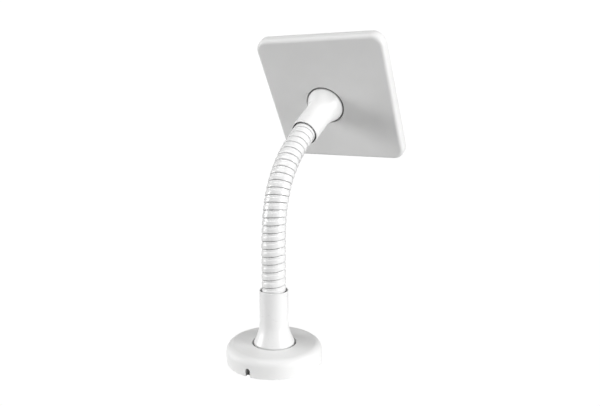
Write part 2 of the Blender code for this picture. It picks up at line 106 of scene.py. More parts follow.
# Smaller details of the visible shapes
FOOT_ABOVE_RECESS_FLOOR = 0.0012
WASHER_TOP = 0.0009
WASHER_CLEARANCE = 0.0012
PAD_GROOVES = (0.0460, 0.0380, 0.0300, 0.0220, 0.0140)
PAD_CUT_BOTTOM = -0.001
PAD_CUT_TOP = 0.003
NOTCH_CUT_BOTTOM = -0.001
NOTCH_CUT_OUTSIDE = 0.002
HOSE_BLEND_MARGIN = 0.0016
BACK_HELPER_INSET = 0.03
BACK_RING_RADIUS = 0.04
BEZEL_LEDGE = 0.0010
BEZEL_LEDGE_WIDTH = 0.0046
ADHESIVE_THICKNESS = 0.0003
DISPLAY_HALF_WIDTH = 0.0765

# How finely the visible shapes are made
TURN_STEPS = 144
ARC_STEP = math.radians(9.0)
HOSE_COLUMNS = 96
CORNER_POINTS = 24

# The hose's helix: the height of its seam over the lower mouth on the side of SEAM_AZIMUTH, the
# mean rise of a turn, and how far the seam swings ahead of that: the turns stand apart near both
# mouths and close up in the bend. Then one turn's profile from its seam upwards, as
# (height, radius), for a turn that rises by HOSE_PITCH.
SEAM_START = 0.00736
SEAM_AZIMUTH = math.radians(-60.1)
MEAN_RISE = 0.00910
SEAM_SWING = 0.00265
SWING_FIRST_TURN = 1.47
SWING_TURNS = 24
TURN_PROFILE = (
    (0.00000, 0.01300),
    (0.00030, 0.01305),
    (0.00034, 0.01438),
    (0.00050, 0.01466),
    (0.00090, 0.01484),
    (0.00170, 0.01490),
    (0.00300, 0.01490),
    (0.00430, 0.01490),
    (0.00500, 0.01485),
    (0.00545, 0.01470),
    (0.00575, 0.01440),
    (0.00590, 0.01421),
    (0.00630, 0.01418),
    (0.00720, 0.01418),
    (0.00810, 0.01417),
    (0.00852, 0.01408),
    (0.00862, 0.01305),
    (HOSE_PITCH, 0.01300),
)

# The camera's place and the direction it looks in
CAMERA_PLACE = (0.3839, -0.6071, 0.3266)
CAMERA_AIM = Vector((-0.4883, 0.8557, -0.1713))

# How bright the surroundings are: what the camera sees, and what lights the stand
FLOOR_SEEN = 1.02
WORLD_SEEN = 1.05
WORLD_LIGHT = 0.04

# The studio: where the softboxes point, and each one's azimuth, elevation, size and power
STAND_MIDDLE = Vector((0.0, 0.05, 0.22))
SOFTBOX_DISTANCE = 1.6
SOFTBOXES = (
    ("right_low_softbox", 0.0, 8.0, 0.8, 24.5),
    ("left_low_softbox", 210.0, 8.0, 0.8, 15.8),
    ("left_top_softbox", 240.0, 62.0, 0.9, 8.6),
    ("right_top_softbox", 300.0, 62.0, 0.9, 8.0),
)


# ---------------------------------------------------------------- making meshes


def add_piece(name, bm, material, body, sharp=35.0):
    """Turns a bmesh into a smooth piece that rides on a body and takes a slot's finish."""
    bmesh.ops.remove_doubles(bm, verts=bm.verts, dist=1e-7)
    bmesh.ops.delete(bm, geom=[edge for edge in bm.edges if edge.is_wire], context="EDGES")
    bmesh.ops.recalc_face_normals(bm, faces=bm.faces)
    mesh = bpy.data.meshes.new(name)
    bm.to_mesh(mesh)
    bm.free()
    mesh.shade_smooth()
    mesh.set_sharp_from_angle(angle=math.radians(sharp))
    mesh.materials.append(material)
    piece = bpy.data.objects.new(name, mesh)
    bpy.context.scene.collection.objects.link(piece)
    if body:
        weighted = piece.modifiers.new("even_shading", "WEIGHTED_NORMAL")
        weighted.keep_sharp = True
        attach(piece, body)
    return piece


def rounded(corners):
    """A profile of (radius, height, rounding) corners as points, each corner turned into an arc."""
    points = []
    for i, (radius, height, rounding) in enumerate(corners):
        here = Vector((radius, height))
        if rounding == 0.0:
            points.append(here)
            continue
        before = (Vector(corners[i - 1][:2]) - here).normalized()
        after = (Vector(corners[(i + 1) % len(corners)][:2]) - here).normalized()
        half = before.angle(after) / 2
        center = here + (before + after).normalized() * rounding / math.sin(half)
        start = here + before * rounding / math.tan(half) - center
        end = here + after * rounding / math.tan(half) - center
        sweep = math.atan2(start.x * end.y - start.y * end.x, start.dot(end))
        steps = max(2, math.ceil(abs(sweep) / ARC_STEP))
        for step in range(steps + 1):
            points.append(center + Matrix.Rotation(sweep * step / steps, 2) @ start)
    return points


def revolved(outline, place=Matrix(), steps=TURN_STEPS):
    """A bmesh of a closed (radius, height) outline turned about the local Z axis."""
    bm = bmesh.new()
    turns = [place @ Matrix.Rotation(2 * math.pi * step / steps, 4, "Z") for step in range(steps)]
    rings = [[bm.verts.new(turn @ Vector((r, 0.0, z))) for r, z in outline] for turn in turns]
    for i in range(steps):
        for j in range(len(outline)):
            bm.faces.new((rings[i - 1][j - 1], rings[i][j - 1], rings[i][j], rings[i - 1][j]))
    return bm


def lofted(loops, ring=True):
    """A bmesh skinned over loops of equal point counts, closed to a ring or with flat ends."""
    bm = bmesh.new()
    rows = [[bm.verts.new(point) for point in loop] for loop in loops]
    pairs = list(zip(rows, rows[1:]))
    if ring:
        pairs.append((rows[-1], rows[0]))
    else:
        bm.faces.new(rows[0])
        bm.faces.new(rows[-1])
    for low, high in pairs:
        for i in range(len(low)):
            bm.faces.new((low[i - 1], low[i], high[i], high[i - 1]))
    return bm


def cut(bm, tool_bm):
    """The bmesh with the tool's solid taken away."""
    made = []
    for name, source in (("cut_target", bm), ("cut_tool", tool_bm)):
        bmesh.ops.remove_doubles(source, verts=source.verts, dist=1e-7)
        bmesh.ops.recalc_face_normals(source, faces=source.faces)
        mesh = bpy.data.meshes.new(name)
        source.to_mesh(mesh)
        source.free()
        made.append(bpy.data.objects.new(name, mesh))
        bpy.context.scene.collection.objects.link(made[-1])
    target, tool = made
    boolean = target.modifiers.new("cut", "BOOLEAN")
    boolean.operation = "DIFFERENCE"
    boolean.object = tool
    bpy.context.view_layer.update()
    result = bmesh.new()
    result.from_object(target, bpy.context.evaluated_depsgraph_get())
    for obj in made:
        bpy.data.objects.remove(obj, do_unlink=True)
    return result


# ---------------------------------------------------------------- materials


class Paint:
    """A procedural material under construction: its nodes, links and Principled shader."""

    def __init__(self, name, roughness, metallic=0.0, coat=0.0, coat_roughness=0.1, ior=1.5):
        self.material = bpy.data.materials.new(name)
        self.material.use_nodes = True
        self.nodes = self.material.node_tree.nodes
        self.shader = self.nodes["Principled BSDF"]
        self.set("Roughness", roughness)
        self.set("Metallic", metallic)
        self.set("Coat Weight", coat)
        self.set("Coat Roughness", coat_roughness)
        self.set("IOR", ior)
        self.place = self.nodes.new("ShaderNodeTexCoord").outputs["Object"]

    def set(self, socket, value):
        self.shader.inputs[socket].default_value = value

    def link(self, source, target):
        self.material.node_tree.links.new(source, target)

    def noise(self, size, detail=3.0, stretch=None):
        """Noise whose features are about size metres across, stretched if a vector is given."""
        node = self.nodes.new("ShaderNodeTexNoise")
        node.inputs["Scale"].default_value = 1.0 / size
        node.inputs["Detail"].default_value = detail
        place = self.place
        if stretch:
            mapping = self.nodes.new("ShaderNodeMapping")
            mapping.inputs["Scale"].default_value = stretch
            self.link(place, mapping.inputs["Vector"])
            place = mapping.outputs["Vector"]
        self.link(place, node.inputs["Vector"])
        return node.outputs["Fac"]

    def cells(self, size, feature="F1"):
        node = self.nodes.new("ShaderNodeTexVoronoi")
        node.feature = feature
        node.inputs["Scale"].default_value = 1.0 / size
        self.link(self.place, node.inputs["Vector"])
        return node.outputs["Distance"]

    def ramp(self, source, low, high, low_color, high_color):
        node = self.nodes.new("ShaderNodeValToRGB")
        node.color_ramp.elements[0].position = low
        node.color_ramp.elements[1].position = high
        node.color_ramp.elements[0].color = (*low_color, 1.0)
        node.color_ramp.elements[1].color = (*high_color, 1.0)
        self.link(source, node.inputs["Fac"])
        return node.outputs["Color"]

    def remap(self, source, low, high, to_low, to_high):
        node = self.nodes.new("ShaderNodeMapRange")
        for socket, value in zip(("From Min", "From Max", "To Min", "To Max"), (low, high, to_low, to_high)):
            node.inputs[socket].default_value = value
        self.link(source, node.inputs["Value"])
        return node.outputs["Result"]

    def math(self, operation, first, second):
        node = self.nodes.new("ShaderNodeMath")
        node.operation = operation
        for socket, value in zip(node.inputs, (first, second)):
            if isinstance(value, float):
                socket.default_value = value
            else:
                self.link(value, socket)
        return node.outputs["Value"]

    def color(self, low_color, high_color, size, detail=2.0):
        """Paints a soft drift between two near colours."""
        drift = self.ramp(self.noise(size, detail), 0.35, 0.65, low_color, high_color)
        self.link(drift, self.shader.inputs["Base Color"])
        return drift

    def roughness(self, size, low, high, stretch=None):
        spread = self.remap(self.noise(size, 4.0, stretch), 0.3, 0.7, low, high)
        self.link(spread, self.shader.inputs["Roughness"])

    def bump(self, height_source, depth, strength=1.0):
        node = self.nodes.new("ShaderNodeBump")
        node.inputs["Distance"].default_value = depth
        node.inputs["Strength"].default_value = strength
        self.link(height_source, node.inputs["Height"])
        before = self.shader.inputs["Normal"]
        if before.is_linked:
            self.link(before.links[0].from_socket, node.inputs["Normal"])
        self.link(node.outputs["Normal"], before)


def shell_plastic():
    """Fine matt moulded white plastic with a spark-eroded texture."""
    paint = Paint("moulded_white", 0.5)
    paint.color((0.79, 0.79, 0.785), (0.82, 0.82, 0.817), 0.060)
    paint.roughness(0.0030, 0.44, 0.56)
    paint.bump(paint.noise(0.0005, 4.0), 0.00001, 0.45)
    return paint.material


def socket_plastic():
    """Satin white plastic of the sockets, smoother than the shells."""
    paint = Paint("satin_white", 0.26, coat=0.25, coat_roughness=0.16)
    paint.color((0.835, 0.835, 0.832), (0.85, 0.85, 0.848), 0.080)
    paint.roughness(0.0060, 0.27, 0.33)
    paint.bump(paint.noise(0.0004, 2.0), 0.000004, 0.25)
    return paint.material


def hose_coating():
    """The white coating of the interlocked hose strip."""
    paint = Paint("coated_strip", 0.25, coat=0.30, coat_roughness=0.15)
    paint.color((0.85, 0.85, 0.85), (0.87, 0.87, 0.868), 0.030)
    paint.roughness(0.0030, 0.21, 0.28)
    paint.bump(paint.noise(0.0005, 2.0), 0.000005, 0.25)
    return paint.material


def painted_seam_shade():
    """The dark grey down in the seam between two turns of the strip: painted shade where the wide band's
    overhang shadows the seam, which stands for the strip's packing as well.
    """
    paint = Paint("painted_seam_shade", 0.7)
    paint.color((0.16, 0.16, 0.16), (0.24, 0.24, 0.24), 0.004)
    paint.roughness(0.0010, 0.62, 0.80)
    paint.bump(paint.noise(0.0003, 3.0), 0.00003, 0.5)
    return paint.material


def dark_fibre():
    """A friction washer in each recess, widened to reach the gap round the socket's foot and made dark grey
    there: painted shade in the gap ring.
    """
    paint = Paint("dark_fibre", 0.9)
    paint.color((0.18, 0.18, 0.18), (0.25, 0.25, 0.25), 0.0006, 4.0)
    paint.roughness(0.0010, 0.82, 0.95)
    paint.bump(paint.noise(0.0003, 5.0), 0.00010, 0.8)
    return paint.material


def foot_rubber():
    paint = Paint("foot_rubber_grip", 0.8)
    paint.color((0.030, 0.030, 0.031), (0.050, 0.050, 0.052), 0.010)
    paint.roughness(0.0020, 0.70, 0.90)
    paint.bump(paint.cells(0.0012), 0.00015, 0.7)
    paint.bump(paint.noise(0.0004, 4.0), 0.00006, 0.6)
    return paint.material


def cast_iron():
    """The cast weight under grey primer, which fills the roughness of the casting a little."""
    paint = Paint("primed_casting", 0.7)
    paint.color((0.42, 0.42, 0.42), (0.50, 0.50, 0.495), 0.006, 4.0)
    paint.roughness(0.0030, 0.60, 0.80)
    paint.bump(paint.noise(0.0009, 6.0), 0.00020, 0.8)
    return paint.material


def machined(name, low_color, high_color, low, high):
    """Bare or plated metal with fine turning or rolling marks."""
    paint = Paint(name, (low + high) / 2, metallic=1.0)
    paint.color(low_color, high_color, 0.005)
    paint.roughness(0.0010, low, high, (1.0, 1.0, 8.0))
    paint.bump(paint.noise(0.0005, 3.0, (1.0, 1.0, 12.0)), 0.00002, 0.5)
    return paint.material


def natural_nylon():
    paint = Paint("natural_nylon", 0.5)
    paint.set("Subsurface Weight", 0.08)
    paint.color((0.68, 0.67, 0.61), (0.74, 0.73, 0.68), 0.006)
    paint.roughness(0.0020, 0.42, 0.60)
    paint.bump(paint.noise(0.0007, 3.0), 0.00002, 0.5)
    return paint.material


def foam_tape():
    paint = Paint("foam_tape", 0.95)
    paint.color((0.020, 0.020, 0.020), (0.045, 0.045, 0.045), 0.0009, 4.0)
    paint.roughness(0.0020, 0.88, 0.98)
    paint.bump(paint.cells(0.0005), 0.00020, 0.9)
    return paint.material


def circuit_laminate():
    """Green solder mask with copper tracks showing faintly under it."""
    paint = Paint("circuit_laminate", 0.4, coat=0.3, coat_roughness=0.2)
    tracks = paint.cells(0.0060, "DISTANCE_TO_EDGE")
    green = paint.ramp(tracks, 0.05, 0.09, (0.030, 0.200, 0.075), (0.012, 0.105, 0.038))
    paint.link(green, paint.shader.inputs["Base Color"])
    paint.roughness(0.0040, 0.32, 0.48)
    paint.bump(tracks, 0.00003, 0.5)
    return paint.material


def chip_epoxy():
    paint = Paint("chip_epoxy", 0.55)
    paint.color((0.022, 0.022, 0.023), (0.036, 0.036, 0.038), 0.0030)
    paint.roughness(0.0010, 0.48, 0.66)
    paint.bump(paint.noise(0.0002, 4.0), 0.00003, 0.7)
    return paint.material


def polyimide():
    paint = Paint("polyimide_film", 0.3, coat=0.4, coat_roughness=0.1)
    paint.color((0.42, 0.19, 0.030), (0.56, 0.28, 0.055), 0.0040)
    paint.roughness(0.0020, 0.22, 0.36)
    paint.bump(paint.noise(0.0012, 2.0, (6.0, 1.0, 1.0)), 0.00002, 0.5)
    return paint.material


def display_panel():
    paint = Paint("display_panel", 0.25)
    paint.color((0.016, 0.018, 0.024), (0.024, 0.027, 0.036), 0.030)
    paint.roughness(0.0050, 0.20, 0.30)
    paint.bump(paint.noise(0.0004, 2.0), 0.00001, 0.3)
    return paint.material


def head_glass(face, half):
    """Cover glass, black-printed round a display area that is a shade lighter and bluer."""
    paint = Paint("printed_glass", 0.05, coat=0.6, coat_roughness=0.03, ior=1.52)
    mapping = paint.nodes.new("ShaderNodeMapping")
    mapping.vector_type = "TEXTURE"
    mapping.inputs["Location"].default_value = face @ HEAD_OFFSET
    mapping.inputs["Rotation"].default_value = face.to_euler()
    split = paint.nodes.new("ShaderNodeSeparateXYZ")
    paint.link(paint.place, mapping.inputs["Vector"])
    paint.link(mapping.outputs["Vector"], split.inputs["Vector"])
    across = paint.math("ABSOLUTE", split.outputs["X"], 0.0)
    up = paint.math("ABSOLUTE", split.outputs["Y"], 0.0)
    inside = paint.remap(paint.math("MAXIMUM", across, up), half - 0.0002, half + 0.0002, 1.0, 0.0)
    tone = paint.math("MULTIPLY", inside, paint.remap(paint.noise(0.120, 1.0), 0.3, 0.7, 0.85, 1.0))
    colour = paint.ramp(tone, 0.0, 1.0, (0.0035, 0.0035, 0.0040), (0.017, 0.020, 0.027))
    paint.link(colour, paint.shader.inputs["Base Color"])
    paint.roughness(0.0300, 0.03, 0.08)
    return paint.material


# ---------------------------------------------------------------- the base


def make_base_shell(white):
    bend = (BASE_RADIUS, BASE_HEIGHT, BASE_FILLET)
    floor = BASE_HEIGHT - RECESS_DEPTH
    underside = floor - RECESS_FLOOR
    boss = RECESS_RADIUS + BASE_WALL
    outline = rounded([
        (RECESS_RADIUS, BASE_HEIGHT, 0.0005),
        bend,
        (BASE_RADIUS, BASE_RIM, 0.0006),
        (BASE_RADIUS - BASE_WALL, BASE_RIM, 0.0003),
        (BASE_RADIUS - BASE_WALL, BASE_HEIGHT - BASE_WALL, BASE_FILLET - BASE_WALL),
        (boss, BASE_HEIGHT - BASE_WALL, 0.0005),
        (boss, underside, 0.0003),
        (PIVOT_HOLE_RADIUS, underside, 0.0002),
        (PIVOT_HOLE_RADIUS, floor, 0.0002),
        (RECESS_RADIUS, floor, 0.0004),
    ])
    half = NOTCH_WIDTH / 2
    arch = rounded([
        (half, NOTCH_HEIGHT, half * 0.98),
        (-half, NOTCH_HEIGHT, half * 0.98),
        (-half, BASE_RIM, NOTCH_FLARE),
        (-half - 3 * NOTCH_FLARE, BASE_RIM, 0.0),
        (-half - 3 * NOTCH_FLARE, NOTCH_CUT_BOTTOM, 0.0),
        (half + 3 * NOTCH_FLARE, NOTCH_CUT_BOTTOM, 0.0),
        (half + 3 * NOTCH_FLARE, BASE_RIM, 0.0),
        (half, BASE_RIM, NOTCH_FLARE),
    ])
    depths = (-BASE_RADIUS - NOTCH_CUT_OUTSIDE, -BASE_RADIUS + 2 * BASE_WALL)
    notch = lofted([[Vector((x, y, z)) for x, z in arch] for y in depths], ring=False)
    cover = cut(revolved(outline, steps=2 * TURN_STEPS), notch)
    soften_notch(cover)
    piece = add_piece("base_shell", cover, white, "base")
    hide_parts("base_cover")


def make_grip_pad(rubber):
    """The grooved rubber pad, with its relief at the cable notch."""
    grooves = [(PAD_RADIUS, PAD_THICKNESS, 0.0002), (PAD_RADIUS, 0.0, 0.0005)]
    for radius in PAD_GROOVES:
        grooves += [(radius + 0.0010, 0.0, 0.0002), (radius + 0.0006, 0.0005, 0.0001)]
        grooves += [(radius - 0.0006, 0.0005, 0.0001), (radius - 0.0010, 0.0, 0.0002)]
    grooves += [(0.0, 0.0, 0.0), (0.0, PAD_THICKNESS, 0.0)]
    half = PAD_RELIEF_WIDTH / 2
    relief = [(-half, PAD_CUT_BOTTOM), (half, PAD_CUT_BOTTOM), (half, PAD_CUT_TOP), (-half, PAD_CUT_TOP)]
    depths = (-BASE_RADIUS, -PAD_RELIEF_START)
    slot = lofted([[Vector((x, y, z)) for x, z in relief] for y in depths], ring=False)
    pad = add_piece("grip_pad", cut(revolved(rounded(grooves)), slot), rubber, "base")
    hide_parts("foot_pad")


def soften_notch(bm):
    """Rounds over the notch's outer edge by a fraction of a millimetre."""
    edges = []
    for edge in bm.edges:
        middle = (edge.verts[0].co + edge.verts[1].co) / 2
        near = abs(middle.x) < NOTCH_WIDTH and middle.y < -0.9 * BASE_RADIUS
        outside = middle.xy.length > BASE_RADIUS - 0.0008
        if near and outside and edge.is_manifold and edge.calc_face_angle() > math.radians(50):
            edges.append(edge)
    bmesh.ops.bevel(bm, geom=edges, offset=0.0004, segments=3, profile=0.5, affect="EDGES")


# ---------------------------------------------------------------- the sockets


def make_socket(prefix, body, face, white):
    """The flared tube, smooth from its lip to its foot."""
    foot_bottom = -RECESS_DEPTH + FOOT_ABOVE_RECESS_FLOOR
    foot_edge = FLARE_MEETS_TUBE - (FOOT_RADIUS - SOCKET_RADIUS) / math.tan(FLARE_ANGLE)
    outline = rounded([
        (SOCKET_BORE, SOCKET_LENGTH, 0.0003),
        (SOCKET_RADIUS, SOCKET_LENGTH, 0.0004),
        (SOCKET_RADIUS, FLARE_MEETS_TUBE, FLARE_TANGENT / math.tan(FLARE_ANGLE / 2)),
        (FOOT_RADIUS, foot_edge, 0.0020),
        (FOOT_RADIUS, foot_bottom, 0.0003),
        (STEM_RADIUS + GAP, foot_bottom, 0.0),
        (STEM_RADIUS + GAP, 0.0022, 0.0002),
        (0.0150, 0.0022, 0.0010),
        (SOCKET_BORE, 0.0120, 0.0010),
    ])
    piece = add_piece(f"{prefix}_flared_socket", revolved(outline, face), white, body)
    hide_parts(f"{prefix}_socket")


def make_washer(prefix, body, face, washer_shade_grey):
    floor = -RECESS_DEPTH
    outline = rounded([
        (WASHER_RADIUS, floor + WASHER_TOP, 0.0002),
        (WASHER_RADIUS, floor + GAP, 0.0001),
        (PIVOT_HOLE_RADIUS + WASHER_CLEARANCE, floor + GAP, 0.0001),
        (PIVOT_HOLE_RADIUS + WASHER_CLEARANCE, floor + WASHER_TOP, 0.0001),
    ])
    # Its dark grey fills the gap ring round the socket's foot as painted shade.
    piece = add_piece(f"{prefix}_painted_shade_washer", revolved(outline, face), washer_shade_grey, body)
    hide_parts(f"{prefix}_friction_washer")


# ---------------------------------------------------------------- the hose


def along(angle):
    return Vector((0.0, math.sin(angle), math.cos(angle)))


class Neck:
    """The hose's middle line: straight from the lower mouth, then an arc round each lean joint.

    The last arc ends at the upper mouth. joints holds the length along the line of every joint.
    """

    def __init__(self):
        first = FIRST_JOINT_ABOVE_MOUTH
        self.arcs = []
        self.joints = [first]
        start = first + 2 * LINK_LENGTH
        point = Vector((0.0, 0.0, BASE_HEIGHT + SOCKET_LENGTH + start))
        angle = 0.0
        reaches = [LINK_LENGTH] * (len(LEAN_BENDS) - 1) + [LAST_JOINT_BELOW_MOUTH]
        for bend, reach in zip(LEAN_BENDS, reaches):
            lead = LINK_LENGTH - reach
            length = reach * bend / math.tan(bend / 2)
            self.arcs.append((start + lead, point + along(angle) * lead, angle, bend, length))
            self.joints += [start, start + lead + length / 2]
            point = point + along(angle) * LINK_LENGTH + along(angle + bend) * reach
            angle += bend
            start += lead + length
        self.end = (start, point, angle)
        self.length = start

    def point(self, s):
        """The line's point and lean angle at length s from the lower mouth."""
        for start, point, angle, bend, length in self.arcs:
            if s < start:
                return point + along(angle) * (s - start), angle
            if s < start + length:
                turn = bend * (s - start) / length
                radius = length / bend
                out = Vector((0.0, math.cos(angle), -math.sin(angle)))
                reach = along(angle) * math.sin(turn) + out * (1.0 - math.cos(turn))
                return point + reach * radius, angle + turn
        start, point, angle = self.end
        return point + along(angle) * (s - start), angle

    def place(self, s):
        point, angle = self.point(s)
        return Matrix.Translation(point) @ Matrix.Rotation(-angle, 4, "X")

    def on_axis(self, s):
        return self.point(s)[0]


def seam_length(turns):
    """The length along the middle line at which the seam has made a number of turns."""
    swing = math.sin(2 * math.pi * (turns - SWING_FIRST_TURN) / SWING_TURNS)
    return SEAM_START + MEAN_RISE * turns + SEAM_SWING * swing


def turn_radius(height):
    """The hose's radius at a height over the seam, within one turn."""
    for (low, low_radius), (high, high_radius) in zip(TURN_PROFILE, TURN_PROFILE[1:]):
        if height <= high:
            return low_radius + (high_radius - low_radius) * (height - low) / (high - low)
    return TURN_PROFILE[-1][1]


def hose_mesh(neck, low, high):
    """A stretch of hose between two lengths: the helical strip outside, a plain bore inside."""
    bm = bmesh.new()
    places = {}

    def vert(s, azimuth, radius):
        s = min(max(s, low), high)
        if s not in places:
            places[s] = neck.place(s)
        return bm.verts.new(places[s] @ Vector((radius * math.cos(azimuth), radius * math.sin(azimuth), 0.0)))

    first_turn = math.floor((low - SEAM_START - SEAM_SWING) / MEAN_RISE) - 1
    last_turn = math.ceil((high - SEAM_START + SEAM_SWING) / MEAN_RISE) + 1
    before = None
    for column in range((last_turn - first_turn) * HOSE_COLUMNS + 1):
        azimuth = SEAM_AZIMUTH + 2 * math.pi * column / HOSE_COLUMNS
        turns = first_turn + column / HOSE_COLUMNS
        seam = seam_length(turns)
        stretch = (seam_length(turns + 1) - seam) / HOSE_PITCH
        here = []
        for height, _ in TURN_PROFILE:
            s = min(max(seam + height * stretch, low), high)
            here.append((s, vert(s, azimuth, turn_radius((s - seam) / stretch))))
        if before:
            for i in range(1, len(here)):
                spans = {before[i - 1][0], before[i][0], here[i - 1][0], here[i][0]}
                if spans != {low} and spans != {high}:
                    face = bm.faces.new((before[i - 1][1], here[i - 1][1], here[i][1], before[i][1]))
                    # The seam's bottom faces, at both ends of the turn's profile, take the second material,
                    # whose dark grey is painted shade.
                    face.material_index = int(i == 1 or i == len(here) - 1)
        before = here
    loose = [v for v in bm.verts if not v.link_faces]
    bmesh.ops.delete(bm, geom=loose, context="VERTS")
    bmesh.ops.remove_doubles(bm, verts=bm.verts, dist=2e-6)
    bmesh.ops.dissolve_degenerate(bm, dist=1e-7, edges=bm.edges)
    rims = [edge for edge in bm.edges if edge.is_boundary]
    add_bore(bm, neck, low, high, rims)
    return bm


def add_bore(bm, neck, low, high, rims):
    rows = max(2, round((high - low) / 0.002))
    rings = []
    for row in range(rows + 1):
        place = neck.place(low + (high - low) * row / rows)
        turns = [SEAM_AZIMUTH + 2 * math.pi * column / HOSE_COLUMNS for column in range(HOSE_COLUMNS)]
        ring = [Vector((HOSE_BORE * math.cos(a), HOSE_BORE * math.sin(a), 0.0)) for a in turns]
        rings.append([bm.verts.new(place @ point) for point in ring])
    inner = []
    for ring, above in zip(rings, rings[1:]):
        for i in range(HOSE_COLUMNS):
            bm.faces.new((ring[i], ring[i - 1], above[i - 1], above[i]))
    for ring in (rings[0], rings[-1]):
        inner += [bm.edges.get((ring[i - 1], ring[i])) for i in range(HOSE_COLUMNS)]
    middle = (neck.on_axis(low) + neck.on_axis(high)) / 2
    axis = neck.on_axis(high) - neck.on_axis(low)
    for side in (-1.0, 1.0):
        ends = [e for e in rims + inner if side * (e.verts[0].co - middle).dot(axis) > 0]
        bmesh.ops.bridge_loops(bm, edges=ends)


def make_hose(neck, coating, seam_shade):
    """One stretch of hose for each joint, from the middle of a link to the middle of the next."""
    cuts = [-HOSE_INSERTION]
    cuts += [(a + b) / 2 for a, b in zip(neck.joints, neck.joints[1:])]
    cuts.append(neck.length + HOSE_INSERTION)
    for i, joint in enumerate(neck.joints):
        low, high = cuts[i], cuts[i + 1]
        bm = hose_mesh(neck, low, high)
        piece = add_piece(f"hose_{i + 1:02d}", bm, coating, None, sharp=50.0)
        # The second material is the dark grey of the seam's painted shade.
        piece.data.materials.append(seam_shade)
        reach = LINK_LENGTH / 2 - HOSE_BLEND_MARGIN
        start = neck.on_axis(max(low, joint - reach))
        end = neck.on_axis(min(high, joint + reach))
        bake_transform(piece)
        nodes = [f"hose_link_{i + 1:02d}"]
        if i == len(neck.joints) - 1:
            nodes.append(f"hose_link_{i + 2:02d}")
        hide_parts(*nodes)


# ---------------------------------------------------------------- the head


def rectangle_loop(face, inset, depth, corner=HEAD_CORNER):
    """A rounded rectangle set in from the head's outline, at a depth under its back face."""
    radius = max(corner - inset, 0.0008)
    reach_x = HEAD_WIDTH / 2 - inset - radius
    reach_y = HEAD_HEIGHT / 2 - inset - radius
    loop = []
    for quarter, (side_x, side_y) in enumerate(((1, 1), (-1, 1), (-1, -1), (1, -1))):
        for step in range(CORNER_POINTS):
            turn = math.pi / 2 * (quarter + step / (CORNER_POINTS - 1))
            x = side_x * reach_x + radius * math.cos(turn)
            y = side_y * reach_y + radius * math.sin(turn)
            loop.append(face @ (HEAD_OFFSET + Vector((x, y, -depth))))
    return loop


def circle_loop(face, radius, depth):
    count = 4 * CORNER_POINTS
    turns = [2 * math.pi * (i + 0.5) / count for i in range(count)]
    return [face @ Vector((radius * math.cos(a), radius * math.sin(a), -depth)) for a in turns]


def make_rear_housing(face, white):
    rim = HEAD_DEPTH - BEZEL_DEPTH - GAP
    boss_end = RECESS_DEPTH + RECESS_FLOOR
    outer = rounded([
        (0.0, rim, 0.0002),
        (0.0, 0.0, HEAD_FILLET),
        (BACK_HELPER_INSET, 0.0, 0.0),
        (BACK_HELPER_INSET, HEAD_WALL, 0.0),
        (HEAD_WALL, HEAD_WALL, HEAD_FILLET - HEAD_WALL),
        (HEAD_WALL, rim, 0.0002),
    ])
    turning = [i for i, point in enumerate(outer) if point.x > BACK_HELPER_INSET / 2]
    before, after = outer[: turning[0]], outer[turning[-1] + 1:]
    round_part = rounded([
        (BACK_RING_RADIUS, 0.0, 0.0),
        (RECESS_RADIUS, 0.0, 0.0004),
        (RECESS_RADIUS, RECESS_DEPTH, 0.0004),
        (PIVOT_HOLE_RADIUS, RECESS_DEPTH, 0.0002),
        (PIVOT_HOLE_RADIUS, boss_end, 0.0002),
        (RECESS_RADIUS + HEAD_WALL, boss_end, 0.0004),
        (RECESS_RADIUS + HEAD_WALL, HEAD_WALL, 0.0004),
        (BACK_RING_RADIUS, HEAD_WALL, 0.0),
    ])
    loops = [rectangle_loop(face, inset, depth) for inset, depth in before]
    loops += [circle_loop(face, radius, depth) for radius, depth in round_part]
    loops += [rectangle_loop(face, inset, depth) for inset, depth in after]
    piece = add_piece("head_rear_shell", lofted(loops), white, "head")
    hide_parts("rear_housing")


def make_bezel_and_glass(face, white, glass):
    back = HEAD_DEPTH - BEZEL_DEPTH
    ledge = back + BEZEL_LEDGE
    lip = BEZEL_LIP
    outline = rounded([
        (0.0, back, 0.0002),
        (0.0, HEAD_DEPTH, 0.0012),
        (lip, HEAD_DEPTH, 0.0003),
        (lip, ledge, 0.0001),
        (lip + BEZEL_LEDGE_WIDTH, ledge, 0.0002),
        (lip + BEZEL_LEDGE_WIDTH, back, 0.0002),
    ])
    bezel = lofted([rectangle_loop(face, inset, depth) for inset, depth in outline])
    piece = add_piece("head_front_frame", bezel, white, "head")
    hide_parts("front_bezel")
    low = ledge + GAP + ADHESIVE_THICKNESS + GAP
    high = low + GLASS_THICKNESS
    edge = rounded([(0.0, low, 0.0001), (0.0, high, 0.00025), (0.001, high, 0.0), (0.001, low, 0.0)])
    edge = [(point.x + lip + GAP, point.y) for point in edge]
    loops = [rectangle_loop(face, inset, depth) for inset, depth in [edge[-1]] + edge[:-1]]
    pane = add_piece("head_glass_pane", lofted(loops, ring=False), glass, "head")
    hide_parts("cover_glass")


# ---------------------------------------------------------------- surroundings


def add_softbox(name, azimuth, elevation, size, power):
    """A square softbox aimed at the middle of the stand from a direction in degrees."""
    turn, rise = math.radians(azimuth), math.radians(elevation)
    away = Vector((math.cos(turn) * math.cos(rise), math.sin(turn) * math.cos(rise), math.sin(rise)))
    light = bpy.data.lights.new(name, "AREA")
    light.shape = "RECTANGLE"
    light.size = light.size_y = size
    light.energy = power
    lamp = bpy.data.objects.new(name, light)
    lamp.location = STAND_MIDDLE + away * SOFTBOX_DISTANCE
    lamp.rotation_euler = (-away).to_track_quat("-Z", "Y").to_euler()
    lamp.visible_camera = False
    bpy.context.scene.collection.objects.link(lamp)


